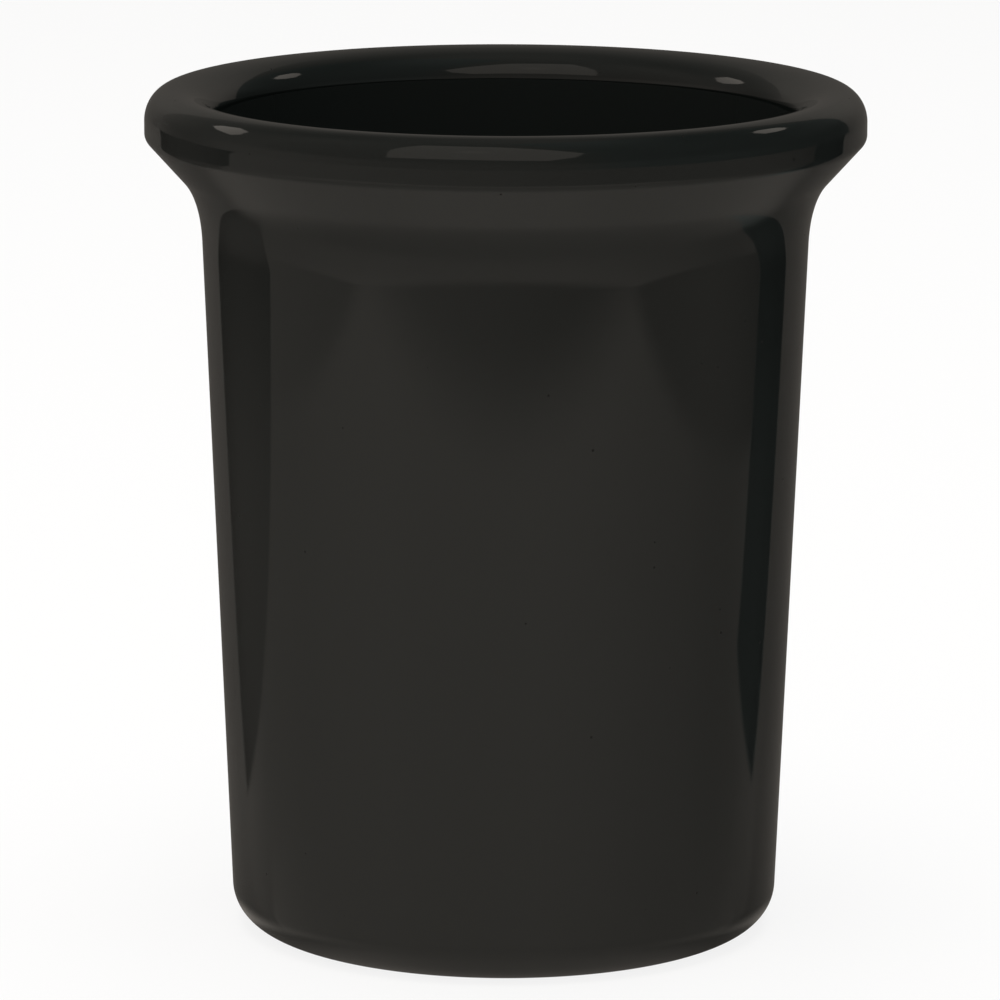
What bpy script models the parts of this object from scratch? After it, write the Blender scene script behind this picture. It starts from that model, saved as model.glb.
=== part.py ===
"""Cutlery crock: a round pot with a straight taper, a hollow cove and a thick rolled rim, moulded in one piece.

The origin is the middle of the plane it stands on, +Z is up and lengths are in metres.

Its wall is one closed outline turned about Z. The outline is a run of straight lines whose corners are
eased, so every rounding of the crock, from the bead on its rim to the fillet round its floor, is a corner
point and two reaches: how far the easing starts before the corner, and how far after it the easing ends.
"""

from math import ceil, pi, radians, sin, tan

import bmesh
import bpy
from mathutils import Vector
from mathutils.geometry import interpolate_bezier

# Body. The radius is that of the outside where its taper, carried on down, would meet the table.
HEIGHT = 0.1350
BASE_RADIUS = 0.0435
DRAFT_ANGLE = radians(2.37)
WALL = 0.0030
BASE_CORNER_RADIUS = 0.0065

# Rolled rim. The overhang is how far its widest part stands out past the corner under it, where the line of
# the neck meets the line of the body.
RIM_OVERHANG = 0.00876
BEAD_OUTER_WIDTH = 0.00400
BEAD_CROWN_HEIGHT = 0.00487
BEAD_FACE_HEIGHT = 0.0019
BEAD_UNDER_RADIUS = 0.0018
LIP_DEPTH = 0.0048

# Neck and cove, between the bead and the body
NECK_ANGLE = radians(42)
COVE_NECK_SHARE = 0.34
COVE_REACH = 0.0070

# Floor, and the ring that it stands on
FLOOR_THICKNESS = 0.0040
FLOOR_FILLET_RADIUS = 0.0060
FOOT_WIDTH = 0.0040
RECESS_DEPTH = 0.0015
RECESS_LEAN = radians(35)
FOOT_EDGE_RADIUS = 0.0008
RECESS_FILLET_RADIUS = 0.0012

# Fineness of the turned surface
TURN_STEPS = 72
FACET_TURN = radians(12)
WELD = 0.000001

# Finish
BLACK = (0.0048, 0.0062, 0.0058, 1.0)
ROUGHNESS = 0.06

UPRIGHT_TURN = pi / 2 - DRAFT_ANGLE
FLOOR_LEVEL = RECESS_DEPTH + FLOOR_THICKNESS


def outside(height):
    """Radius of the body's outside at a height."""
    return BASE_RADIUS + height * tan(DRAFT_ANGLE)


def inside(height):
    """Radius of the bore at a height."""
    return outside(height) - WALL


def reach(radius, turn):
    """How far an arc of this radius starts from the corner that it rounds, for the angle the line turns by."""
    return radius * tan(turn / 2)


def rim_corners():
    """Corners of the rim from the bore to the body, each with its reach before and after."""
    under_reach = reach(BEAD_UNDER_RADIUS, NECK_ANGLE)
    bead_height = HEIGHT - BEAD_CROWN_HEIGHT - BEAD_FACE_HEIGHT - under_reach
    cove_height = bead_height - RIM_OVERHANG / tan(NECK_ANGLE)
    rim_radius = outside(cove_height) + RIM_OVERHANG
    crest_radius = rim_radius - BEAD_OUTER_WIDTH
    neck_length = RIM_OVERHANG / sin(NECK_ANGLE) - under_reach
    return [
        ((inside(HEIGHT), HEIGHT), LIP_DEPTH, crest_radius - inside(HEIGHT)),
        ((rim_radius, HEIGHT), BEAD_OUTER_WIDTH, BEAD_CROWN_HEIGHT),
        ((rim_radius, bead_height), under_reach, under_reach),
        ((outside(cove_height), cove_height), neck_length * COVE_NECK_SHARE, COVE_REACH),
    ]


def foot_corners():
    """Corners of the underside from the body inwards, each with its reach before and after."""
    base_reach = reach(BASE_CORNER_RADIUS, UPRIGHT_TURN)
    edge_turn = pi / 2 - RECESS_LEAN
    edge_reach = reach(FOOT_EDGE_RADIUS, edge_turn)
    fillet_reach = reach(RECESS_FILLET_RADIUS, edge_turn)
    foot_radius = BASE_RADIUS - base_reach - FOOT_WIDTH - edge_reach
    recess_radius = foot_radius - RECESS_DEPTH * tan(RECESS_LEAN)
    return [
        ((BASE_RADIUS, 0), base_reach, base_reach),
        ((foot_radius, 0), edge_reach, edge_reach),
        ((recess_radius, RECESS_DEPTH), fillet_reach, fillet_reach),
    ]


def outline():
    """Points of the wall's outline: from the middle of the floor up the bore, over the rim and down to the foot."""
    fillet_reach = reach(FLOOR_FILLET_RADIUS, UPRIGHT_TURN)
    floor_corner = ((inside(FLOOR_LEVEL), FLOOR_LEVEL), fillet_reach, fillet_reach)
    corners = [((0, FLOOR_LEVEL), 0, 0), floor_corner, *rim_corners(), *foot_corners(), ((0, RECESS_DEPTH), 0, 0)]
    places = [Vector((radius, 0, height)) for (radius, height), _, _ in corners]
    points = [places[0]]
    for index in range(1, len(corners) - 1):
        _, reach_before, reach_after = corners[index]
        arriving = (places[index] - places[index - 1]).normalized()
        leaving = (places[index + 1] - places[index]).normalized()
        points += eased(places[index], arriving, leaving, reach_before, reach_after)
    return [*points, places[-1]]


def eased(corner, arriving, leaving, reach_before, reach_after):
    """Points of the curve that rounds a corner. It is an arc where the reaches are alike, or else a bow like an
    ellipse's that turns faster on the side of the shorter reach."""
    turn = arriving.angle(leaving)
    handle_share = 4 / 3 * tan(turn / 4) / tan(turn / 2)
    start = corner - arriving * reach_before
    end = corner + leaving * reach_after
    start_handle = start + arriving * reach_before * handle_share
    end_handle = end - leaving * reach_after * handle_share
    return interpolate_bezier(start, start_handle, end_handle, end, ceil(turn / FACET_TURN) + 1)


def gloss_black():
    """Near-black moulding with a polished skin."""
    material = bpy.data.materials.new("gloss_black")
    material.use_nodes = True
    shader = material.node_tree.nodes["Principled BSDF"]
    shader.inputs["Base Color"].default_value = BLACK
    shader.inputs["Roughness"].default_value = ROUGHNESS
    shader.inputs["Metallic"].default_value = 0
    material.diffuse_color = BLACK
    return material


def make_crock():
    """The whole holder: its outline turned once round Z."""
    shape = bmesh.new()
    turned = [shape.verts.new(point) for point in outline()]
    for first, second in zip(turned, turned[1:]):
        shape.edges.new((first, second))
    bmesh.ops.remove_doubles(shape, verts=shape.verts, dist=WELD)
    mesh = bpy.data.meshes.new("crock")
    shape.to_mesh(mesh)
    shape.free()
    mesh.materials.append(gloss_black())
    crock = bpy.data.objects.new("crock", mesh)
    bpy.context.scene.collection.objects.link(crock)
    turning = crock.modifiers.new("Turning", "SCREW")
    turning.axis = "Z"
    turning.angle = 2 * pi
    turning.steps = TURN_STEPS
    turning.render_steps = TURN_STEPS
    turning.use_merge_vertices = True
    turning.merge_threshold = WELD
    turning.use_smooth_shade = True


def main():
    for old in list(bpy.data.objects):
        bpy.data.objects.remove(old)
    make_crock()


main()
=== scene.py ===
"""Looks for the cutlery crock: its smooth turned surface, its gloss black finish and a small product studio.

The file is laid out as a Blender add-on and is run as a script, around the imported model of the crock. Lengths
are in metres, +Z is up, the crock stands on the origin and -Y faces the camera.
"""

from math import ceil, cos, pi, radians, sin, tan

import bmesh
import bpy
from bpy.props import FloatProperty, FloatVectorProperty, IntProperty, PointerProperty
from mathutils import Matrix, Vector
from mathutils.geometry import interpolate_bezier


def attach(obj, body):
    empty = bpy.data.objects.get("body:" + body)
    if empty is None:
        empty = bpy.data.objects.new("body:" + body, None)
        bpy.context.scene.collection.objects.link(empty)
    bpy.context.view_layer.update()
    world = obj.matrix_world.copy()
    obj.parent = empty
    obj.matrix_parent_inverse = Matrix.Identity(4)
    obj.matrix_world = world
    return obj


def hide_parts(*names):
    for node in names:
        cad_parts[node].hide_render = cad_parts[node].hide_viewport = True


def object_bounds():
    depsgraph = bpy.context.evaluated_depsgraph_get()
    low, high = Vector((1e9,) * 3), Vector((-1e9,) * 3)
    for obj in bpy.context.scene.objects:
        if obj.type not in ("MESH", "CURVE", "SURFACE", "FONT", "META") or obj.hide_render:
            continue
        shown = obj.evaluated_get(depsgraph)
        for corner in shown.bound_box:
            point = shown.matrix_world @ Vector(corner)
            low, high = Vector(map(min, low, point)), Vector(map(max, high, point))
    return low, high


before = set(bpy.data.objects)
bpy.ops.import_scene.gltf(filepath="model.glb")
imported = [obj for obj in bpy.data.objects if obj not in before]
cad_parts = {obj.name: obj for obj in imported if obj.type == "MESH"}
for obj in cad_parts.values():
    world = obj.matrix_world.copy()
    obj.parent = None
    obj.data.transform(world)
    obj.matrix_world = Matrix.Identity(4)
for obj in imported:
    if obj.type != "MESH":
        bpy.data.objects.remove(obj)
CAD_LOW, CAD_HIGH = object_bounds()

bl_info = {
    "name": "Cutlery Crock",
    "version": (1, 0, 0),
    "blender": (4, 5, 0),
    "location": "3D View > Sidebar > Crock",
    "description": "Turns a gloss black cutlery crock and sets it in a small product studio",
    "category": "Object",
}

NODE = "crock"
BODY = "root"
WELD = 0.000001

# Camera, at the photograph's viewing angle
CAMERA_PLACE = (0.0, -1.0607, 0.28153)
CAMERA_DOWN = radians(11.349)
CAMERA_TURN = radians(0.041)
CAMERA_ROLL = radians(0.149)
CAMERA_LENS_MM = 243.49
SENSOR_MM = 36.0

# Relief of the skin, from its lowest to its highest
PEEL_RELIEF = 0.0000030
PEEL_SIZE = 0.0032
LINE_RELIEF = 0.0000006
LINE_PITCH = 0.00035
PIT_DEPTH = 0.00004
HAIRLINE_DEPTH = 0.0000015
HAIRLINE_WIDTH = 0.00012
HAIRLINE_LENGTH = 0.012
SMUDGE_SIZE = 0.022

# Pits: the share of them that are smallest, their smallest and largest radius as shares of the middling one,
# and where their flat bottoms start, as shares of their own radius
SMALL_PITS = 0.2
PIT_SIZES = (0.35, 1.6)
PIT_BOTTOMS = (0.4, 0.8)

# Ranges of the noise over which a smudge and a patch of hairlines come in, and half a hairline's width in it.
# The hairlines' noise has waves this many widths across, and their length holds this many patches.
SMUDGE_RANGE = (0.42, 0.72)
PATCH_RANGE = (0.5, 0.75)
HAIRLINE_HALF = 0.035
HAIRLINE_PITCH = 10.0
PATCH_COUNT = 2.0

# Least wear on the body, where the crest has 1, and on the foot's ring
BODY_WEAR = 0.25
FOOT_WEAR = 0.35

# Share of the surface that the hairlines scratch, and how much of the rubbed colour they show
HAIRLINE_AMOUNT = 0.42
BORE_HAIRLINE_AMOUNT = 0.55
HAIRLINE_COLOUR = 0.15
BORE_HAIRLINE_COLOUR = 0.35

# Roughness that each kind of wear adds to the polished skin
SMUDGE_ROUGHNESS = 0.025
HAIRLINE_ROUGHNESS = 0.10
PIT_ROUGHNESS = 0.45
BORE_DEPTH_ROUGHNESS = 0.05
BORE_HAIRLINE_ROUGHNESS = 0.20
FOOT_SMUDGE_ROUGHNESS = 0.12
FOOT_WORN_ROUGHNESS = 0.30

# Studio sizes
FLOOR_RADIUS = 3.4
TENT_RADIUS = 2.6
TENT_SEGMENTS = 96
TENT_RINGS = 48
SKIRT_TOP = radians(12)
WALL_FOOT = radians(24)
WALL_TOP = radians(58)
CROWN_FOOT = radians(80)
FILL_SIZE = 1.6
FILL_HEIGHT = 1.9

# Painted light on the table that the gloss sees; the floor glows with it for gloss rays only. A lit board is
# painted in front of a line just behind the crock's middle, which bends away on the right. Past the board's
# other three edges the painted light is dimmer.
BOARD_LEFT = -0.405
BOARD_RIGHT = 0.360
BOARD_SIDE_FADE = 0.025
BOARD_FADE_START = 0.320
BOARD_FADE_END = 0.450
BOARD_BOW = 0.28
BOARD_MIDDLE = -0.022
LINE_PLACE = 0.041
LINE_SLOPE = -0.040
LINE_BEND = 0.212
LINE_LEAN = 0.520
LINE_FADE = 0.004

# Painted shade behind the line: a dark wedge on each side, darker further off, whose outer edge leans back
# from a corner beside the crock. Beyond and between the wedges the table is painted dim. Its level goes by
# azimuth about a place on each side of the crock, and near the crock it is painted a little brighter.
WEDGE_LEFT = 0.100
WEDGE_RIGHT = 0.124
WEDGE_LEAN_LEFT = 0.78
WEDGE_LEAN_RIGHT = 0.97
WEDGE_FADE = 0.005
WEDGE_FAR_START = 0.30
WEDGE_FAR_END = 0.60
WEDGE_FAR_SHARE = 0.60
BACK_SIDE = 0.040
BACK_MIDDLE = -0.023
BACK_START = radians(112)
BACK_END = radians(120)
BACK_NEAR = 0.044
BACK_CLEAR = 0.053
BACK_GAIN = 1.14
BACK_GAIN_START = 0.10
BACK_GAIN_END = 0.20

# Shade on the table against the foot, deeper under the sides of the base corner, which see it from close by
CONTACT_START = 0.037
CONTACT_END = 0.0455
SHADE_START = 0.0055
SHADE_END = 0.009
SHADE_TURN = (radians(25), radians(60))
SHADE_DEPTH = 0.6

# Painted sheen of the table: from above it is painted matt, and the flatter it is seen the brighter it is
# painted. The base corner, which is close to it, sees it evenly bright.
SHEEN_IOR = 1.5
SHEEN_LEAST = 0.74
SHEEN_GROWTH = 0.98
MATT_BELOW = 0.052
MATT_ABOVE = 0.088
CLOSE_START = 0.010
CLOSE_END = 0.030
CLOSE_SHEEN = 0.907

# Brightness of the surroundings that the gloss sees. Each stop is an azimuth in degrees and a level. 0 faces
# the camera, 90 is +X and 180 is behind. The stops stand where each light or shade starts, peaks or ends.
BOARD_LEVELS = ((-180, 0.08), (-122, 0.11), (-114, 0.35), (-95, 0.55), (-70, 0.90), (-40, 1.05),
                (15, 1.01), (45, 0.90), (75, 0.62), (95, 0.35), (112, 0.30), (120, 0.11), (127, 0.08),
                (180, 0.08))
TABLE_LEVELS = ((-180, 0.09), (-130, 0.11), (-105, 0.40), (-80, 0.63), (-50, 0.69), (0, 0.57), (35, 0.46),
                (75, 0.47), (95, 0.29), (115, 0.07), (130, 0.06), (145, 0.10), (180, 0.09))
WEDGE_LEVELS = ((-180, 0.07), (-140, 0.08), (-130, 0.15), (-115, 0.26), (-100, 0.34), (100, 0.14),
                (120, 0.10), (130, 0.05), (180, 0.04))
BACK_LEVELS = ((-180, 0.09), (-162, 0.10), (-145, 0.18), (-135, 0.26), (-110, 0.43), (110, 0.31),
               (129, 0.22), (136, 0.15), (155, 0.12), (180, 0.09))
MATT_LEVELS = ((-180, 0.12), (-125, 0.28), (-60, 0.64), (-20, 0.72), (20, 0.71), (60, 0.61), (125, 0.26),
               (180, 0.12))
SKIRT_LEVELS = ((-180, 0.12), (-155, 0.19), (-130, 0.14), (-112, 0.22), (-95, 0.48), (-73, 0.65),
                (-40, 0.52), (0, 0.47), (40, 0.37), (78, 0.28), (100, 0.14), (125, 0.05), (155, 0.05),
                (180, 0.12))
WALL_LEVELS = ((-180, 0.22), (-145, 0.18), (-120, 0.21), (-103, 0.34), (-88, 0.44), (0, 0.41), (28, 0.28),
               (75, 0.21), (100, 0.15), (137, 0.08), (165, 0.19), (180, 0.22))
CROWN_LEVEL = 0.32
WARM_LIGHT = (1.06, 0.972, 0.876)
COOL_LIGHT = (0.89, 0.971, 0.917)
COOL_START = (radians(15), radians(45))
COOL_END = (radians(150), radians(140))

# Soft boxes and cards, each as the azimuth and elevation in degrees of its corners, seen from the crock's rim
CARD_DISTANCE = 2.3
KEY_CORNERS = ((-39, 25), (14, 25), (24, 34), (30, 46), (20, 62), (-6, 76), (-60, 72), (-47, 50))
KEY_EDGE = radians(4)
KEY_HOT_AZIMUTH = -14
KEY_HOT_ELEVATION = 53
KEY_HOT_RADIUS = 0.34
LEFT_CORNERS = ((-127, 32), (-119, 29.5), (-107, 28), (-106.5, 33), (-114, 40), (-118, 41), (-128, 41),
                (-130, 36))
RIGHT_CORNERS = ((114, 39.5), (118, 37), (124.5, 36), (130, 37), (134, 40.5), (131, 44.5), (124.5, 45.5),
                 (118, 44))
CARD_EDGE = radians(1.5)
BACKDROP_CORNERS = ((138, -3), (216, -3), (214, 17), (208, 31), (201, 35), (180, 40), (157, 38),
                    (148, 33), (142, 22), (139, 11))
BACKDROP_EDGE = radians(1.2)
# The backdrop glows with painted light, dim at its foot, brighter at its top and towards its sides
BACKDROP_TOP = 1.2
BACKDROP_FOOT_LEVEL = 0.13
BACKDROP_TOP_LEVEL = 0.29
BACKDROP_MIDDLE_SHARE = 0.65


def length(name, description, default, low=0.0):
    """A length property in metres."""
    return FloatProperty(name=name, description=description, default=default, min=low, unit="LENGTH",
                         precision=5)


def slope(name, description, degrees):
    """An angle property, given in degrees."""
    return FloatProperty(name=name, description=description, default=radians(degrees), min=0, max=pi / 2,
                         subtype="ANGLE")


def share(name, description, default):
    """A property between none and all."""
    return FloatProperty(name=name, description=description, default=default, min=0, max=1, subtype="FACTOR")


def colour(name, description, default):
    """A colour property."""
    return FloatVectorProperty(name=name, description=description, default=default, size=3, min=0, max=1,
                               subtype="COLOR")


def amount(name, description, default):
    """A property from none upwards, for a lamp's power or a card's brightness."""
    return FloatProperty(name=name, description=description, default=default, min=0)


class CrockSizes(bpy.types.PropertyGroup):
    """Sizes of the turned outline, the same as the construction model's, and how finely it is cut."""

    height: length("Height", "From the table to the crest of the rim", CAD_HIGH.z)
    rim_radius: length("Rim radius", "From the axis to the widest part of the bead", CAD_HIGH.x)
    draft: slope("Draft", "Lean of the body's side", 2.37)
    wall: length("Wall", "Thickness of the body's wall, measured level", 0.0030)
    base_corner: length("Base corner", "Radius between the side and the foot", 0.0065)
    overhang: length("Overhang", "From the corner under the neck out to the widest part of the bead", 0.00876)
    bead_width: length("Bead width", "From the crest of the rim out to its widest part", 0.00400)
    bead_crown: length("Bead crown", "From the crest down to where the bead is upright", 0.00487)
    bead_face: length("Bead face", "Height of the bead's upright part", 0.0019)
    bead_under: length("Bead under", "Radius between the bead and the neck", 0.0018)
    lip_depth: length("Lip depth", "From the crest down to where the bore is straight", 0.0048)
    neck: slope("Neck", "Lean of the neck under the bead", 42)
    cove_neck_share: share("Cove on the neck", "Share of the neck that the cove rounds", 0.34)
    cove_reach: length("Cove reach", "How far the cove runs down the body", 0.0070)
    floor: length("Floor", "Thickness of the floor over the recess", 0.0040)
    floor_fillet: length("Floor fillet", "Radius between the bore and the floor", 0.0060)
    foot_width: length("Foot width", "Width of the flat ring that the crock stands on", 0.0040)
    recess_depth: length("Recess depth", "Depth of the hollow inside the ring", 0.0015)
    recess_lean: slope("Recess lean", "Lean of the side of the recess", 35)
    foot_edge: length("Foot edge", "Radius of the ring's inner edge", 0.0008)
    recess_fillet: length("Recess fillet", "Radius inside the recess", 0.0012)
    turn_steps: IntProperty(name="Turn steps", description="Facets round the crock", default=288, min=12)
    facet_turn: slope("Facet turn", "Most that one facet of a rounding turns by", 3)
    holding_gap: length("Holding gap", "From a rounding to the loop that keeps the straight run true", 0.0003)
    longest_facet: length("Longest facet", "Longest facet along a straight run", 0.0080, 0.0005)


class CrockFinish(bpy.types.PropertyGroup):
    """Colours and gloss of the moulding."""

    black: colour("Black", "Colour of the moulding", (0.0048, 0.0062, 0.0058))
    # The bore's colour is lighter than the moulding's black: painted light in the bore
    bore_black_with_painted_light: colour("Bore", "Colour of the bore", (0.0125, 0.0150, 0.0145))
    pit_black: colour("Pit", "Colour in the bottom of a pit", (0.0025, 0.0027, 0.0026))
    rubbed_grey: colour("Rubbed", "Colour of scratched and rubbed places", (0.022, 0.023, 0.022))
    gloss: share("Roughness", "Roughness of the polished skin", 0.045)
    shine: share("Shine", "Specular level of the polished skin", 0.27)
    pit_spacing: length("Pit spacing", "Size of the cells that hold one pit each", 0.0034, 0.0005)
    pit_radius: length("Pit radius", "Radius of a pit", 0.00016, 0.00001)


class CrockStudio(bpy.types.PropertyGroup):
    """Floor and lamps of the studio."""

    floor_colour: colour("Floor", "Colour of the floor", (0.97, 0.97, 0.97))
    floor_glow: share("Floor glow", "Share of the floor that is bright by itself", 0.86)
    fill_watts: amount("Fill", "Power of the overhead lamp in watts", 30)
    key_level: amount("Key", "Brightness of the key soft box", 1.02)
    key_hot_level: amount("Key middle", "Brightness of the middle of the key soft box", 1.7)
    left_level: amount("Left card", "Brightness of the left card", 1.6)
    right_level: amount("Right card", "Brightness of the right card", 1.4)


def reach(radius, turn):
    """How far an arc of this radius starts from the corner that it rounds, where the line turns by this."""
    return radius * tan(turn / 2)


def rim_levels(sizes):
    """Heights of the corner under the bead and of the cove's corner, and the reach under the bead."""
    under_reach = reach(sizes.bead_under, sizes.neck)
    bead_height = sizes.height - sizes.bead_crown - sizes.bead_face - under_reach
    cove_height = bead_height - sizes.overhang / tan(sizes.neck)
    return bead_height, cove_height, under_reach


def outside(sizes, height):
    """Radius of the body's outside at a height, with the taper carried on past its ends."""
    _, cove_height, _ = rim_levels(sizes)
    return sizes.rim_radius - sizes.overhang - (cove_height - height) * tan(sizes.draft)


def inside(sizes, height):
    """Radius of the bore at a height."""
    return outside(sizes, height) - sizes.wall


def rim_corners(sizes):
    """Corners of the rim from the bore to the body, each with its reach before and after."""
    bead_height, cove_height, under_reach = rim_levels(sizes)
    lip_radius = inside(sizes, sizes.height)
    crest_radius = sizes.rim_radius - sizes.bead_width
    neck_length = sizes.overhang / sin(sizes.neck) - under_reach
    return [
        ((lip_radius, sizes.height), sizes.lip_depth, crest_radius - lip_radius),
        ((sizes.rim_radius, sizes.height), sizes.bead_width, sizes.bead_crown),
        ((sizes.rim_radius, bead_height), under_reach, under_reach),
        ((outside(sizes, cove_height), cove_height), neck_length * sizes.cove_neck_share, sizes.cove_reach),
    ]


def foot_corners(sizes):
    """Corners of the underside from the body inwards, each with its reach before and after."""
    base_reach = reach(sizes.base_corner, pi / 2 - sizes.draft)
    edge_turn = pi / 2 - sizes.recess_lean
    edge_reach = reach(sizes.foot_edge, edge_turn)
    fillet_reach = reach(sizes.recess_fillet, edge_turn)
    foot_radius = outside(sizes, 0) - base_reach - sizes.foot_width - edge_reach
    recess_radius = foot_radius - sizes.recess_depth * tan(sizes.recess_lean)
    return [
        ((outside(sizes, 0), 0), base_reach, base_reach),
        ((foot_radius, 0), edge_reach, edge_reach),
        ((recess_radius, sizes.recess_depth), fillet_reach, fillet_reach),
    ]


def eased(sizes, corner, arriving, leaving, reach_before, reach_after):
    """Points of the curve that rounds a corner: an arc where the reaches are alike, or else a bow like an
    ellipse's that turns faster on the side of the shorter reach."""
    turn = arriving.angle(leaving)
    handle_share = 4 / 3 * tan(turn / 4) / tan(turn / 2)
    start = corner - arriving * reach_before
    end = corner + leaving * reach_after
    start_handle = start + arriving * reach_before * handle_share
    end_handle = end - leaving * reach_after * handle_share
    return interpolate_bezier(start, start_handle, end_handle, end, ceil(turn / sizes.facet_turn) + 1)


def straight_run(sizes, start, end):
    """Points between the ends of a straight run: one close to each end, and others at an even pitch."""
    span = end - start
    if span.length < 3 * sizes.holding_gap:
        return []
    hold = span.normalized() * sizes.holding_gap
    facets = ceil((span.length - 2 * sizes.holding_gap) / sizes.longest_facet)
    return [(start + hold).lerp(end - hold, step / facets) for step in range(facets + 1)]


def outline(sizes):
    """The wall's outline as three runs of points: up the bore, over the rim and down the side, and under."""
    floor_level = sizes.recess_depth + sizes.floor
    fillet_reach = reach(sizes.floor_fillet, pi / 2 - sizes.draft)
    floor_corner = ((inside(sizes, floor_level), floor_level), fillet_reach, fillet_reach)
    corners = [((0, floor_level), 0, 0), floor_corner, *rim_corners(sizes), *foot_corners(sizes),
               ((0, sizes.recess_depth), 0, 0)]
    places = [Vector((radius, 0, height)) for (radius, height), _, _ in corners]
    roundings = [[places[0]]]
    for index in range(1, len(corners) - 1):
        arriving = (places[index] - places[index - 1]).normalized()
        leaving = (places[index + 1] - places[index]).normalized()
        roundings.append(eased(sizes, places[index], arriving, leaving, *corners[index][1:]))
    roundings.append([places[-1]])
    # The bore has the axis and the fillet, and the skin the rim's four corners and the base corner
    bore, skin, foot = roundings[:2], roundings[2:7], roundings[7:]
    return [joined(sizes, bore + [skin[0][:1]]), joined(sizes, skin), joined(sizes, [skin[-1][-1:]] + foot)]


def joined(sizes, roundings):
    """One run of points through the roundings and the straight stretches between them."""
    points = list(roundings[0])
    for rounding in roundings[1:]:
        points += straight_run(sizes, points[-1], rounding[0])
        points += rounding
    return points


def turned(sizes, name):
    """A mesh of the outline turned once round Z. Each run of the outline has a material slot of its own."""
    shape = bmesh.new()
    for slot_index, points in enumerate(outline(sizes)):
        finished = set(shape.faces)
        verts = [shape.verts.new(point) for point in points]
        edges = [shape.edges.new(pair) for pair in zip(verts, verts[1:])]
        bmesh.ops.spin(shape, geom=verts + edges, cent=(0, 0, 0), axis=(0, 0, 1), angle=2 * pi,
                       steps=sizes.turn_steps, use_merge=True)
        for face in set(shape.faces) - finished:
            face.material_index = slot_index
    bmesh.ops.remove_doubles(shape, verts=shape.verts, dist=WELD)
    bmesh.ops.recalc_face_normals(shape, faces=shape.faces)
    for face in shape.faces:
        face.smooth = True
    mesh = bpy.data.meshes.new(name)
    shape.to_mesh(mesh)
    shape.free()
    return mesh


class Wires:
    """Adds nodes to a tree and wires them. A socket given as an input's value is linked to it."""

    def __init__(self, tree):
        self.tree = tree

    def put(self, kind, inputs=None, **settings):
        """A new node with its settings, and with its inputs by name or number."""
        node = self.tree.nodes.new(kind)
        for name, value in settings.items():
            setattr(node, name, value)
        for key, value in (inputs or {}).items():
            if isinstance(value, bpy.types.NodeSocket):
                self.tree.links.new(value, node.inputs[key])
            else:
                node.inputs[key].default_value = value
        return node

    def maths(self, operation, *values):
        """The number that a Math node gives."""
        return self.put("ShaderNodeMath", dict(enumerate(values)), operation=operation).outputs[0]

    def vector(self, operation, *values):
        """The vector that a Vector Math node gives."""
        node = self.put("ShaderNodeVectorMath", dict(enumerate(values)), operation=operation)
        return node.outputs["Vector"]

    def size_of(self, vector):
        """How long a vector is."""
        return self.put("ShaderNodeVectorMath", {0: vector}, operation="LENGTH").outputs["Value"]

    def split(self, vector):
        """The three parts of a vector."""
        return self.put("ShaderNodeSeparateXYZ", {0: vector}).outputs[:]

    def combine(self, x, y, z):
        """A vector of three parts."""
        return self.put("ShaderNodeCombineXYZ", {0: x, 1: y, 2: z}).outputs[0]

    def ramp(self, value, start, end, first=0.0, last=1.0):
        """A number that goes from first to last as the value goes from start to end, eased at both ends."""
        inputs = {"Value": value, "From Min": start, "From Max": end, "To Min": first, "To Max": last}
        return self.put("ShaderNodeMapRange", inputs, interpolation_type="SMOOTHSTEP").outputs["Result"]

    def mix(self, factor, first, second):
        """The first colour, turned into the second by the factor."""
        return self.put("ShaderNodeMix", {0: factor, 6: first, 7: second}, data_type="RGBA").outputs[2]

    def noise(self, vector, scale, detail=2.0, distortion=0.0):
        """Smooth noise about one half."""
        node = self.put("ShaderNodeTexNoise", {"Vector": vector, "Scale": scale, "Detail": detail,
                                               "Distortion": distortion})
        return node.outputs["Fac"]

    def levels(self, turn, stops):
        """Level by azimuth, on a smooth curve that passes close to the stops."""
        place = self.maths("DIVIDE", self.maths("ADD", turn, pi), 2 * pi)
        node = self.put("ShaderNodeValToRGB", {"Fac": place})
        ramp = node.color_ramp
        ramp.interpolation = "B_SPLINE"
        while len(ramp.elements) > 1:
            ramp.elements.remove(ramp.elements[-1])
        for index, (degrees, level) in enumerate(stops):
            stop = ramp.elements.new((degrees + 180) / 360) if index else ramp.elements[0]
            stop.position = (degrees + 180) / 360
            stop.color = (level, level, level, 1)
        return node.outputs["Color"]


def new_effect(name, inputs, outputs):
    """A shader node group with its sockets. Gives its wires, its inputs by name, and its output node."""
    group = bpy.data.node_groups.new(name, "ShaderNodeTree")
    for socket_name, kind, default in inputs:
        socket = group.interface.new_socket(socket_name, in_out="INPUT", socket_type=kind)
        if default is not None:
            socket.default_value = default
    for socket_name, kind in outputs:
        group.interface.new_socket(socket_name, in_out="OUTPUT", socket_type=kind)
    wires = Wires(group)
    given = wires.put("NodeGroupInput").outputs
    return wires, given, wires.put("NodeGroupOutput")


def pits_effect():
    """Small round pits, one in some of the cells of a loose grid."""
    wires, given, result = new_effect(
        "crock_pits",
        [("Vector", "NodeSocketVector", None), ("Spacing", "NodeSocketFloat", 0.0034),
         ("Radius", "NodeSocketFloat", 0.00016)],
        [("Mask", "NodeSocketFloat")])
    cells = wires.put("ShaderNodeTexVoronoi", {"Vector": given["Vector"],
                                               "Scale": wires.maths("DIVIDE", 1.0, given["Spacing"])})
    size_draw, soft_draw, _ = wires.split(cells.outputs["Color"])
    distance = wires.maths("MULTIPLY", cells.outputs["Distance"], given["Spacing"])
    radius = wires.maths("MULTIPLY", given["Radius"], wires.ramp(size_draw, SMALL_PITS, 1.0, *PIT_SIZES))
    rim = wires.maths("MULTIPLY", radius, wires.ramp(soft_draw, 0.0, 1.0, *PIT_BOTTOMS))
    wires.tree.links.new(wires.ramp(distance, radius, rim), result.inputs["Mask"])
    return wires.tree


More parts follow.
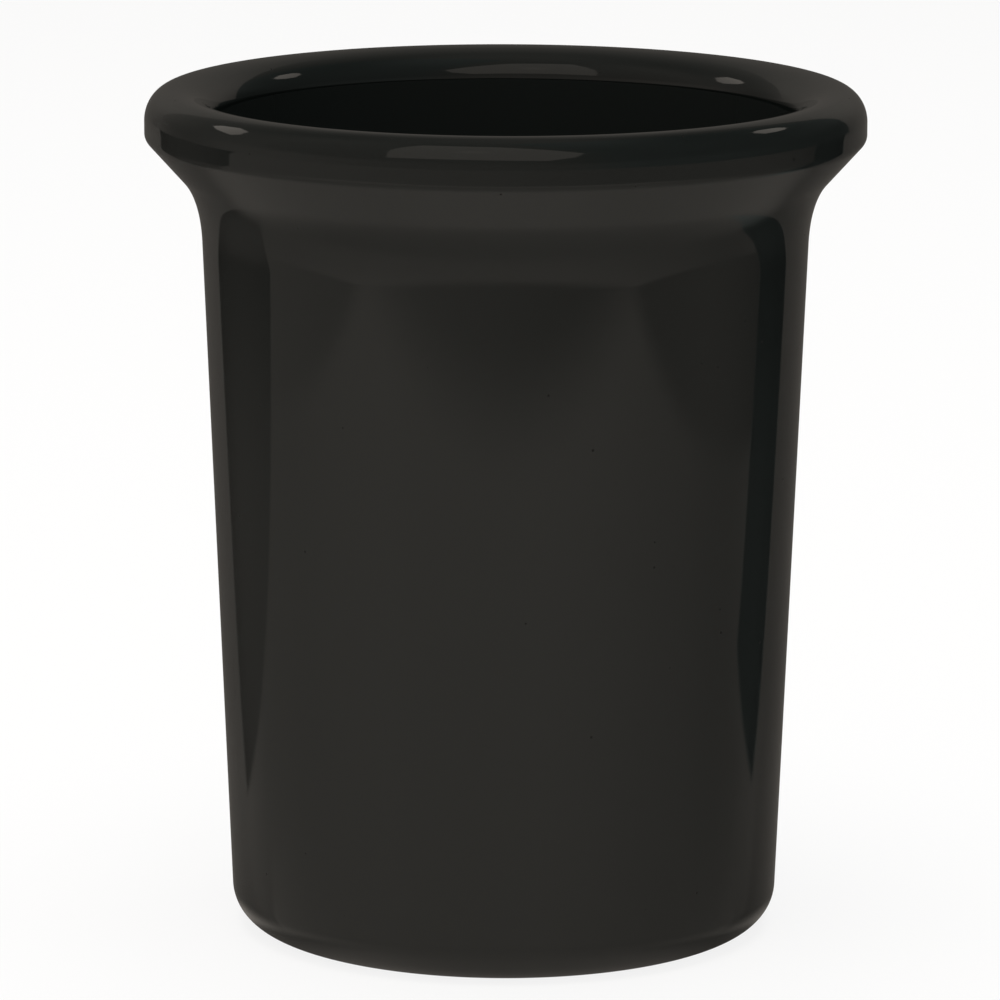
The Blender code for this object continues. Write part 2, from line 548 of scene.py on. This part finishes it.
def peel_effect():
    """The slow unevenness that a moulded skin keeps under its gloss, like an orange's."""
    wires, given, result = new_effect(
        "crock_peel",
        [("Vector", "NodeSocketVector", None), ("Size", "NodeSocketFloat", 0.003)],
        [("Height", "NodeSocketFloat")])
    height = wires.noise(given["Vector"], wires.maths("DIVIDE", 1.0, given["Size"]), detail=1.0)
    wires.tree.links.new(height, result.inputs["Height"])
    return wires.tree


def lines_effect():
    """Polishing lines that run round the crock, on its sides and on its flats alike."""
    wires, given, result = new_effect(
        "crock_lines",
        [("Vector", "NodeSocketVector", None), ("Pitch", "NodeSocketFloat", 0.00035),
         ("Streaks", "NodeSocketFloat", 3.0)],
        [("Height", "NodeSocketFloat")])
    x, y, z = wires.split(given["Vector"])
    radius = wires.size_of(wires.combine(x, y, 0.0))
    round_x = wires.maths("MULTIPLY", wires.maths("DIVIDE", x, radius), given["Streaks"])
    round_y = wires.maths("MULTIPLY", wires.maths("DIVIDE", y, radius), given["Streaks"])
    across = wires.maths("DIVIDE", wires.maths("ADD", z, radius), given["Pitch"])
    height = wires.noise(wires.combine(round_x, round_y, across), 1.0)
    wires.tree.links.new(height, result.inputs["Height"])
    return wires.tree


def hairlines_effect():
    """Long fine scratches up and down, broken up into patches."""
    wires, given, result = new_effect(
        "crock_hairlines",
        [("Vector", "NodeSocketVector", None), ("Width", "NodeSocketFloat", 0.00012),
         ("Length", "NodeSocketFloat", 0.012), ("Amount", "NodeSocketFloat", 0.5)],
        [("Mask", "NodeSocketFloat")])
    x, y, z = wires.split(given["Vector"])
    pitch = wires.maths("MULTIPLY", given["Width"], HAIRLINE_PITCH)
    tall = wires.combine(wires.maths("DIVIDE", x, pitch), wires.maths("DIVIDE", y, pitch),
                         wires.maths("DIVIDE", z, given["Length"]))
    ridge = wires.maths("ABSOLUTE", wires.maths("SUBTRACT", wires.noise(tall, 1.0, detail=0.0), 0.5))
    line = wires.ramp(ridge, 0.0, HAIRLINE_HALF, 1.0, 0.0)
    patch = wires.noise(given["Vector"], wires.maths("DIVIDE", PATCH_COUNT, given["Length"]))
    shifted = wires.maths("ADD", patch, wires.maths("SUBTRACT", given["Amount"], 0.5))
    spread = wires.ramp(shifted, *PATCH_RANGE)
    wires.tree.links.new(wires.maths("MULTIPLY", line, spread), result.inputs["Mask"])
    return wires.tree


def smudges_effect():
    """Broad soft marks that handling and wiping leave on a gloss."""
    wires, given, result = new_effect(
        "crock_smudges",
        [("Vector", "NodeSocketVector", None), ("Size", "NodeSocketFloat", 0.022)],
        [("Mask", "NodeSocketFloat")])
    scale = wires.maths("DIVIDE", 1.0, given["Size"])
    blots = wires.noise(given["Vector"], scale, detail=3.0, distortion=0.6)
    wires.tree.links.new(wires.ramp(blots, *SMUDGE_RANGE), result.inputs["Mask"])
    return wires.tree


class Skin:
    """The shader of one of the crock's surfaces, with the effects that every surface shares."""

    def __init__(self, name, finish, effects):
        self.material = bpy.data.materials.new(name)
        self.material.use_nodes = True
        self.material.diffuse_color = (*finish.black, 1)
        self.wires = Wires(self.material.node_tree)
        self.shader = self.material.node_tree.nodes["Principled BSDF"]
        self.shader.inputs["Specular IOR Level"].default_value = finish.shine
        self.finish = finish
        self.effects = effects
        self.place = self.wires.put("ShaderNodeTexCoord").outputs["Object"]

    def effect(self, name, output, **inputs):
        """An output of one of the shared effects, placed with its own values."""
        node = self.wires.put("ShaderNodeGroup", node_tree=self.effects[name])
        self.wires.tree.links.new(self.place, node.inputs["Vector"])
        for socket_name, value in inputs.items():
            node.inputs[socket_name].default_value = value
        return node.outputs[output]

    def sum_of(self, *terms):
        """The sum of pairs of a value and the weight that it is given."""
        total = 0.0
        for value, weight in terms:
            total = self.wires.put("ShaderNodeMath", {0: value, 1: weight, 2: total},
                                   operation="MULTIPLY_ADD").outputs[0]
        return total

    def finish_with(self, base, roughness, height):
        """Wires the colour, the roughness and the relief to the shader."""
        relief = self.wires.put("ShaderNodeBump", {"Strength": 1.0, "Distance": 1.0, "Height": height})
        self.wires.tree.links.new(base, self.shader.inputs["Base Color"])
        self.wires.tree.links.new(roughness, self.shader.inputs["Roughness"])
        self.wires.tree.links.new(relief.outputs["Normal"], self.shader.inputs["Normal"])
        return self.material


def outside_skin(finish, sizes, effects):
    """Polished skin of the rim and the body, with fine pits and the marks of handling."""
    skin = Skin("gloss_black_outside", finish, effects)
    pits = skin.effect("pits", "Mask", Spacing=finish.pit_spacing, Radius=finish.pit_radius)
    peel = skin.effect("peel", "Height", Size=PEEL_SIZE)
    lines = skin.effect("lines", "Height", Pitch=LINE_PITCH)
    smudges = skin.effect("smudges", "Mask", Size=SMUDGE_SIZE)
    hairlines = skin.effect("hairlines", "Mask", Width=HAIRLINE_WIDTH, Length=HAIRLINE_LENGTH,
                            Amount=HAIRLINE_AMOUNT)
    _, _, height = skin.wires.split(skin.place)
    crest = skin.wires.ramp(height, sizes.height - sizes.bead_crown, sizes.height)
    rubbed = skin.wires.maths("MULTIPLY", hairlines, skin.wires.ramp(crest, 0.0, 1.0, BODY_WEAR, 1.0))
    base = skin.wires.mix(skin.wires.maths("MULTIPLY", rubbed, HAIRLINE_COLOUR), (*finish.black, 1),
                          (*finish.rubbed_grey, 1))
    base = skin.wires.mix(pits, base, (*finish.pit_black, 1))
    roughness = skin.sum_of((1.0, finish.gloss), (smudges, SMUDGE_ROUGHNESS), (rubbed, HAIRLINE_ROUGHNESS),
                            (pits, PIT_ROUGHNESS))
    relief = skin.sum_of((peel, PEEL_RELIEF), (lines, LINE_RELIEF), (pits, -PIT_DEPTH),
                         (rubbed, -HAIRLINE_DEPTH))
    return skin.finish_with(base, roughness, relief)


def bore_skin(finish, sizes, effects):
    """Skin of the bore and the inner floor, scratched by the cutlery that is dropped in."""
    skin = Skin("gloss_black_bore", finish, effects)
    peel = skin.effect("peel", "Height", Size=PEEL_SIZE)
    lines = skin.effect("lines", "Height", Pitch=LINE_PITCH)
    smudges = skin.effect("smudges", "Mask", Size=SMUDGE_SIZE)
    hairlines = skin.effect("hairlines", "Mask", Width=HAIRLINE_WIDTH, Length=2 * HAIRLINE_LENGTH,
                            Amount=BORE_HAIRLINE_AMOUNT)
    _, _, height = skin.wires.split(skin.place)
    depth = skin.wires.ramp(height, sizes.height - sizes.lip_depth, sizes.height / 2)
    rubbed = skin.wires.maths("MULTIPLY", hairlines, depth)
    # The bore's colour is lifted above the black as painted light
    base = skin.wires.mix(skin.wires.maths("MULTIPLY", rubbed, BORE_HAIRLINE_COLOUR), (*finish.bore_black_with_painted_light, 1),
                          (*finish.rubbed_grey, 1))
    roughness = skin.sum_of((1.0, finish.gloss), (smudges, SMUDGE_ROUGHNESS), (depth, BORE_DEPTH_ROUGHNESS),
                            (rubbed, BORE_HAIRLINE_ROUGHNESS))
    relief = skin.sum_of((peel, PEEL_RELIEF), (lines, LINE_RELIEF), (rubbed, -HAIRLINE_DEPTH))
    return skin.finish_with(base, roughness, relief)


def foot_skin(finish, sizes, effects):
    """Underside, left as it came from the mould, with its ring rubbed dull by tables."""
    skin = Skin("gloss_black_foot", finish, effects)
    pits = skin.effect("pits", "Mask", Spacing=finish.pit_spacing / 2, Radius=finish.pit_radius)
    lines = skin.effect("lines", "Height", Pitch=LINE_PITCH)
    smudges = skin.effect("smudges", "Mask", Size=SMUDGE_SIZE / 3)
    _, _, height = skin.wires.split(skin.place)
    ring = skin.wires.ramp(height, sizes.recess_depth / 3, 0.0)
    worn = skin.wires.maths("MULTIPLY", ring, skin.wires.ramp(smudges, 0.0, 1.0, FOOT_WEAR, 1.0))
    base = skin.wires.mix(worn, (*finish.black, 1), (*finish.rubbed_grey, 1))
    base = skin.wires.mix(pits, base, (*finish.pit_black, 1))
    roughness = skin.sum_of((1.0, finish.gloss), (smudges, FOOT_SMUDGE_ROUGHNESS),
                            (worn, FOOT_WORN_ROUGHNESS), (pits, PIT_ROUGHNESS))
    relief = skin.sum_of((lines, 4 * LINE_RELIEF), (pits, -PIT_DEPTH))
    return skin.finish_with(base, roughness, relief)


class CROCK_OT_turn_crock(bpy.types.Operator):
    """Turn the crock's outline into one closed moulding and give it its gloss black finish"""

    bl_idname = "crock.turn_crock"
    bl_label = "Turn the Crock"

    def execute(self, context):
        sizes = context.scene.crock_sizes
        finish = context.scene.crock_finish
        effects = {"pits": pits_effect(), "peel": peel_effect(), "lines": lines_effect(),
                   "hairlines": hairlines_effect(), "smudges": smudges_effect()}
        mesh = turned(sizes, "turned_crock")
        mesh.materials.append(bore_skin(finish, sizes, effects))
        mesh.materials.append(outside_skin(finish, sizes, effects))
        mesh.materials.append(foot_skin(finish, sizes, effects))
        piece = bpy.data.objects.new("turned_crock", mesh)
        context.scene.collection.objects.link(piece)
        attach(piece, BODY)
        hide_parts(NODE)
        return {"FINISHED"}


def stage_object(name, shape, material):
    """An object of the studio from a bmesh, with its material."""
    mesh = bpy.data.meshes.new(name)
    shape.to_mesh(mesh)
    shape.free()
    mesh.materials.append(material)
    piece = bpy.data.objects.new(name, mesh)
    bpy.context.scene.collection.objects.link(piece)
    return piece


def bare_material(name):
    """A material whose tree holds only its output. Gives the material, its wires and the output's socket."""
    material = bpy.data.materials.new(name)
    material.use_nodes = True
    wires = Wires(material.node_tree)
    wires.tree.nodes.clear()
    return material, wires, wires.put("ShaderNodeOutputMaterial").inputs["Surface"]


def turn_of(wires, x, y):
    """Azimuth of a place: 0 towards the camera, and a quarter turn towards +X."""
    return wires.maths("ARCTAN2", x, wires.maths("MULTIPLY", y, -1.0))


def coolness(wires, turn):
    """How cool the light is from each azimuth: it is cool on the right and warm elsewhere."""
    return wires.maths("MULTIPLY", wires.ramp(turn, *COOL_START), wires.ramp(turn, *COOL_END))


def scaled(wires, level, gain):
    """A level times a number."""
    return wires.put("ShaderNodeVectorMath", {0: level, "Scale": gain}, operation="SCALE").outputs["Vector"]


def tinted(wires, level, cool):
    """A level as a colour: warm, or cool by the factor."""
    tint = wires.mix(cool, (*WARM_LIGHT, 1), (*COOL_LIGHT, 1))
    return wires.put("ShaderNodeMix", {0: 1.0, 6: level, 7: tint}, data_type="RGBA",
                     blend_type="MULTIPLY").outputs[2]


def painted_board_light(wires, x, y):
    """Painted light: how bright each place of the table in front of the line looks in gloss."""
    board = wires.levels(turn_of(wires, x, wires.maths("SUBTRACT", y, BOARD_MIDDLE)), BOARD_LEVELS)
    table = wires.levels(turn_of(wires, x, y), TABLE_LEVELS)
    left = wires.ramp(x, BOARD_LEFT - BOARD_SIDE_FADE, BOARD_LEFT + BOARD_SIDE_FADE)
    right = wires.ramp(x, BOARD_RIGHT + BOARD_SIDE_FADE, BOARD_RIGHT - BOARD_SIDE_FADE)
    bowed = wires.maths("SUBTRACT", y, wires.maths("MULTIPLY", wires.maths("MULTIPLY", x, x), BOARD_BOW))
    far = wires.ramp(bowed, -BOARD_FADE_END, -BOARD_FADE_START)
    within = wires.maths("MULTIPLY", wires.maths("MULTIPLY", left, right), far)
    return wires.mix(within, table, board)


def past_line(wires, x, y):
    """Whether each place is past the line behind the crock's middle."""
    bend = wires.maths("MAXIMUM", wires.maths("SUBTRACT", x, LINE_BEND), 0.0)
    straight = wires.maths("MULTIPLY_ADD", x, LINE_SLOPE, LINE_PLACE)
    line = wires.maths("MULTIPLY_ADD", bend, LINE_LEAN, straight)
    return wires.ramp(wires.maths("SUBTRACT", y, line), -LINE_FADE, LINE_FADE)


def outside_wedge_edge(wires, x, y):
    """Whether each place is out past the leaning edges of the painted dark wedges."""
    corner = wires.ramp(x, -LINE_PLACE, LINE_PLACE, WEDGE_LEFT, WEDGE_RIGHT)
    lean = wires.ramp(x, -LINE_PLACE, LINE_PLACE, WEDGE_LEAN_LEFT, WEDGE_LEAN_RIGHT)
    edge = wires.maths("MULTIPLY_ADD", wires.maths("SUBTRACT", y, LINE_PLACE), lean, corner)
    return wires.ramp(wires.maths("SUBTRACT", wires.maths("ABSOLUTE", x), edge), -WEDGE_FADE, WEDGE_FADE)


def painted_table_level(wires, x, y, distance):
    """Painted light and shade of the table in gloss from the side: how bright each place looks, and how cool.
    """
    middle = wires.ramp(x, -BACK_SIDE, BACK_SIDE, -BACK_SIDE, BACK_SIDE)
    turn = turn_of(wires, wires.maths("SUBTRACT", x, middle), wires.maths("SUBTRACT", y, BACK_MIDDLE))
    past = past_line(wires, x, y)
    beside = wires.maths("MULTIPLY", wires.ramp(distance, BACK_NEAR, BACK_CLEAR),
                         wires.ramp(wires.maths("ABSOLUTE", turn), BACK_START, BACK_END))
    behind = wires.maths("MAXIMUM", past, beside)
    gain = wires.ramp(distance, BACK_GAIN_START, BACK_GAIN_END, BACK_GAIN, 1.0)
    back = scaled(wires, wires.levels(turn, BACK_LEVELS), gain)
    level = wires.mix(behind, painted_board_light(wires, x, y), back)
    painted_shade_wedge = wires.maths("MULTIPLY", past, outside_wedge_edge(wires, x, y))
    far = wires.ramp(distance, WEDGE_FAR_START, WEDGE_FAR_END, 1.0, WEDGE_FAR_SHARE)
    level = wires.mix(painted_shade_wedge, level, scaled(wires, wires.levels(turn, WEDGE_LEVELS), far))
    return level, wires.maths("MULTIPLY", painted_shade_wedge, coolness(wires, turn))


def painted_sheen_level(wires, path, turn, level):
    """Painted sheen of the table: its level from the slope that it is seen at, its own or a matt one from
    above.
    """
    fresnel = wires.put("ShaderNodeFresnel", {"IOR": SHEEN_IOR}).outputs["Fac"]
    close = wires.ramp(path["Ray Length"], CLOSE_END, CLOSE_START)
    sheen = wires.maths("MINIMUM", wires.maths("MULTIPLY_ADD", fresnel, SHEEN_GROWTH, SHEEN_LEAST), 1.0)
    sheen = wires.maths("MAXIMUM", sheen, wires.maths("MULTIPLY", close, CLOSE_SHEEN))
    from_side = wires.maths("MAXIMUM", wires.ramp(fresnel, MATT_BELOW, MATT_ABOVE), close)
    return wires.mix(from_side, wires.levels(turn, MATT_LEVELS), scaled(wires, level, sheen))


def contact_shade(wires, path, turn, distance):
    """Shade on the table against the foot, which is deeper under the sides of the base corner."""
    under = wires.ramp(path["Ray Length"], SHADE_END, SHADE_START)
    side = wires.ramp(wires.maths("ABSOLUTE", turn), *SHADE_TURN, 0.0, -SHADE_DEPTH)
    contact = wires.ramp(distance, CONTACT_START, CONTACT_END)
    return wires.maths("MULTIPLY", contact, wires.maths("MULTIPLY_ADD", under, side, 1.0))


def floor_material(studio):
    """Pale floor. To the eye it is part lit and part bright, and in gloss it glows with the table's painted
    light.
    """
    material, wires, surface = bare_material("studio_floor")
    x, y, _ = wires.split(wires.put("ShaderNodeTexCoord").outputs["Object"])
    path = wires.put("ShaderNodeLightPath").outputs
    seen = wires.maths("MAXIMUM", path["Is Camera Ray"], path["Is Transmission Ray"])
    lit = wires.put("ShaderNodeBsdfDiffuse", {"Color": (*studio.floor_colour, 1)})
    bright = wires.put("ShaderNodeEmission", {"Color": (1, 1, 1, 1), "Strength": 1.0})
    distance = wires.size_of(wires.combine(x, y, 0.0))
    level, cool = painted_table_level(wires, x, y, distance)
    turn = turn_of(wires, x, y)
    level = painted_sheen_level(wires, path, turn, level)
    # Painted light and shade of the table, which only gloss rays see
    table = wires.put("ShaderNodeEmission", {"Color": tinted(wires, level, cool),
                                             "Strength": contact_shade(wires, path, turn, distance)})
    plain = wires.put("ShaderNodeMixShader", {0: wires.maths("MULTIPLY", seen, studio.floor_glow),
                                              1: lit.outputs[0], 2: bright.outputs[0]})
    both = wires.put("ShaderNodeMixShader", {0: path["Is Glossy Ray"], 1: plain.outputs[0],
                                             2: table.outputs[0]})
    wires.tree.links.new(both.outputs[0], surface)
    return material


def tent_material():
    """The studio's walls and crown, brighter on the left, with their brightness by azimuth and height."""
    material, wires, surface = bare_material("studio_tent")
    x, y, z = wires.split(wires.put("ShaderNodeTexCoord").outputs["Object"])
    turn = turn_of(wires, x, y)
    climb = wires.maths("ARCSINE", wires.maths("DIVIDE", z, TENT_RADIUS))
    crown = (CROWN_LEVEL, CROWN_LEVEL, CROWN_LEVEL, 1)
    level = wires.mix(wires.ramp(climb, SKIRT_TOP, WALL_FOOT), wires.levels(turn, SKIRT_LEVELS),
                      wires.levels(turn, WALL_LEVELS))
    level = wires.mix(wires.ramp(climb, WALL_TOP, CROWN_FOOT), level, crown)
    glow = wires.put("ShaderNodeEmission", {"Color": tinted(wires, level, coolness(wires, turn))})
    wires.tree.links.new(glow.outputs[0], surface)
    return material


def cloth_material(name):
    """A soft box's cloth, which fades out over its edge, with its wires and its strength's socket."""
    material, wires, surface = bare_material(name)
    glow = wires.put("ShaderNodeEmission", {"Color": (*WARM_LIGHT, 1)})
    clear = wires.put("ShaderNodeBsdfTransparent")
    inward, _, _ = wires.split(wires.put("ShaderNodeTexCoord").outputs["UV"])
    both = wires.put("ShaderNodeMixShader", {0: wires.ramp(inward, 0.0, 1.0), 1: clear.outputs[0],
                                             2: glow.outputs[0]})
    wires.tree.links.new(both.outputs[0], surface)
    return material, wires, glow.inputs["Strength"]


def plain_cloth(name, level):
    """Cloth of one brightness."""
    material, _, strength = cloth_material(name)
    strength.default_value = level
    return material


def key_cloth(studio, hot_place):
    """Cloth with a bright middle, where its lamp stands."""
    material, wires, strength = cloth_material("studio_key")
    place = wires.put("ShaderNodeTexCoord").outputs["Object"]
    distance = wires.size_of(wires.vector("SUBTRACT", place, hot_place))
    level = wires.ramp(distance, 0.0, KEY_HOT_RADIUS, studio.key_hot_level, studio.key_level)
    wires.tree.links.new(level, strength)
    return material


def painted_glow_backdrop_cloth():
    """Cloth that glows with painted light, brighter towards its top and its sides."""
    material, wires, strength = cloth_material("studio_backdrop")
    x, _, z = wires.split(wires.put("ShaderNodeTexCoord").outputs["Object"])
    climb = wires.ramp(z, 0.0, BACKDROP_TOP, BACKDROP_FOOT_LEVEL, BACKDROP_TOP_LEVEL)
    side = wires.ramp(wires.maths("ABSOLUTE", x), 0.0, CARD_DISTANCE / 2, BACKDROP_MIDDLE_SHARE, 1.0)
    wires.tree.links.new(wires.maths("MULTIPLY", climb, side), strength)
    return material


def way_to(azimuth, elevation):
    """Direction of an azimuth and an elevation in degrees."""
    turn, climb = radians(azimuth), radians(elevation)
    return Vector((sin(turn) * cos(climb), -cos(turn) * cos(climb), sin(climb)))


def make_card(name, corners, edge, material, target):
    """A card with its corners in these directions from the target. U grows from 0 to 1 over its edge."""
    shape = bmesh.new()
    face = shape.faces.new([shape.verts.new(target + CARD_DISTANCE * way_to(*corner)) for corner in corners])
    bmesh.ops.inset_region(shape, faces=[face], thickness=CARD_DISTANCE * edge, use_even_offset=True)
    uv_layer = shape.loops.layers.uv.verify()
    within = set(face.verts)
    for part in shape.faces:
        for corner in part.loops:
            corner[uv_layer].uv = (1 if corner.vert in within else 0, 0)
    card = stage_object(name, shape, material)
    card.visible_camera = False


def make_floor(studio):
    """A round floor that runs past the tent."""
    shape = bmesh.new()
    bmesh.ops.create_circle(shape, cap_ends=True, segments=TENT_SEGMENTS, radius=FLOOR_RADIUS)
    stage_object("studio_floor", shape, floor_material(studio))


def make_tent():
    """A half sphere round the crock that lights it softly, and that the camera looks through."""
    shape = bmesh.new()
    bmesh.ops.create_uvsphere(shape, u_segments=TENT_SEGMENTS, v_segments=TENT_RINGS, radius=TENT_RADIUS)
    bmesh.ops.bisect_plane(shape, geom=shape.verts[:] + shape.edges[:] + shape.faces[:], plane_co=(0, 0, 0),
                           plane_no=(0, 0, 1), clear_inner=True)
    tent = stage_object("studio_tent", shape, tent_material())
    tent.visible_camera = False


def make_boxes(studio, target):
    """The key soft box in front on the left, two small cards behind at the sides and a grey backdrop that glows
    with painted light.
    """
    hot_place = target + CARD_DISTANCE * way_to(KEY_HOT_AZIMUTH, KEY_HOT_ELEVATION)
    make_card("studio_key", KEY_CORNERS, KEY_EDGE, key_cloth(studio, hot_place), target)
    for name, corners, level in (("studio_left", LEFT_CORNERS, studio.left_level),
                                 ("studio_right", RIGHT_CORNERS, studio.right_level)):
        make_card(name, corners, CARD_EDGE, plain_cloth(name, level), target)
    make_card("studio_backdrop", BACKDROP_CORNERS, BACKDROP_EDGE, painted_glow_backdrop_cloth(), target)


def make_fill(studio):
    """An overhead lamp that brings the light on the crock up to a plain level, with no image in its gloss."""
    light = bpy.data.lights.new("studio_fill", "AREA")
    light.size = FILL_SIZE
    light.energy = studio.fill_watts
    lamp = bpy.data.objects.new("studio_fill", light)
    lamp.location = (0, 0, FILL_HEIGHT)
    lamp.visible_glossy = False
    lamp.visible_camera = False
    bpy.context.scene.collection.objects.link(lamp)


def make_world():
    """Plain white beyond the floor."""
    world = bpy.data.worlds.new("studio_world")
    world.use_nodes = True
    background = world.node_tree.nodes["Background"]
    background.inputs["Color"].default_value = (1, 1, 1, 1)
    background.inputs["Strength"].default_value = 1.0
    bpy.context.scene.world = world


def make_camera():
    """The camera at the photograph's viewing angle."""
    lens = bpy.data.cameras.new("camera")
    lens.lens = CAMERA_LENS_MM
    lens.sensor_width = SENSOR_MM
    camera = bpy.data.objects.new("camera", lens)
    bpy.context.scene.collection.objects.link(camera)
    camera.matrix_world = (Matrix.Translation(CAMERA_PLACE) @ Matrix.Rotation(CAMERA_TURN, 4, "Z")
                           @ Matrix.Rotation(pi / 2 - CAMERA_DOWN, 4, "X")
                           @ Matrix.Rotation(CAMERA_ROLL, 4, "Z"))
    bpy.context.scene.camera = camera


class CROCK_OT_set_studio(bpy.types.Operator):
    """Set the crock in its studio: a pale floor, soft light and the camera"""

    bl_idname = "crock.set_studio"
    bl_label = "Set the Studio"

    def execute(self, context):
        studio = context.scene.crock_studio
        rim_middle = Vector((0, 0, context.scene.crock_sizes.height))
        make_floor(studio)
        make_tent()
        make_boxes(studio, rim_middle)
        make_fill(studio)
        make_world()
        make_camera()
        context.scene.view_settings.view_transform = "Standard"
        return {"FINISHED"}


class CROCK_PT_sidebar(bpy.types.Panel):
    """The crock's sizes, finish and studio"""

    bl_idname = "CROCK_PT_sidebar"
    bl_label = "Cutlery Crock"
    bl_space_type = "VIEW_3D"
    bl_region_type = "UI"
    bl_category = "Crock"

    def draw(self, context):
        groups = (("Sizes", context.scene.crock_sizes), ("Finish", context.scene.crock_finish),
                  ("Studio", context.scene.crock_studio))
        for title, group in groups:
            box = self.layout.box()
            box.label(text=title)
            for name in group.__annotations__:
                box.prop(group, name)
        self.layout.operator(CROCK_OT_turn_crock.bl_idname)
        self.layout.operator(CROCK_OT_set_studio.bl_idname)


CLASSES = (CrockSizes, CrockFinish, CrockStudio, CROCK_OT_turn_crock, CROCK_OT_set_studio, CROCK_PT_sidebar)


def register():
    """Adds the classes, and their property groups to the scene."""
    for kind in CLASSES:
        bpy.utils.register_class(kind)
    bpy.types.Scene.crock_sizes = PointerProperty(type=CrockSizes)
    bpy.types.Scene.crock_finish = PointerProperty(type=CrockFinish)
    bpy.types.Scene.crock_studio = PointerProperty(type=CrockStudio)


def unregister():
    """Takes the property groups and the classes away again."""
    del bpy.types.Scene.crock_studio
    del bpy.types.Scene.crock_finish
    del bpy.types.Scene.crock_sizes
    for kind in reversed(CLASSES):
        bpy.utils.unregister_class(kind)


def main():
    """Makes the crock and its studio."""
    register()
    bpy.ops.crock.turn_crock()
    bpy.ops.crock.set_studio()


if __name__ == "__main__":
    main()
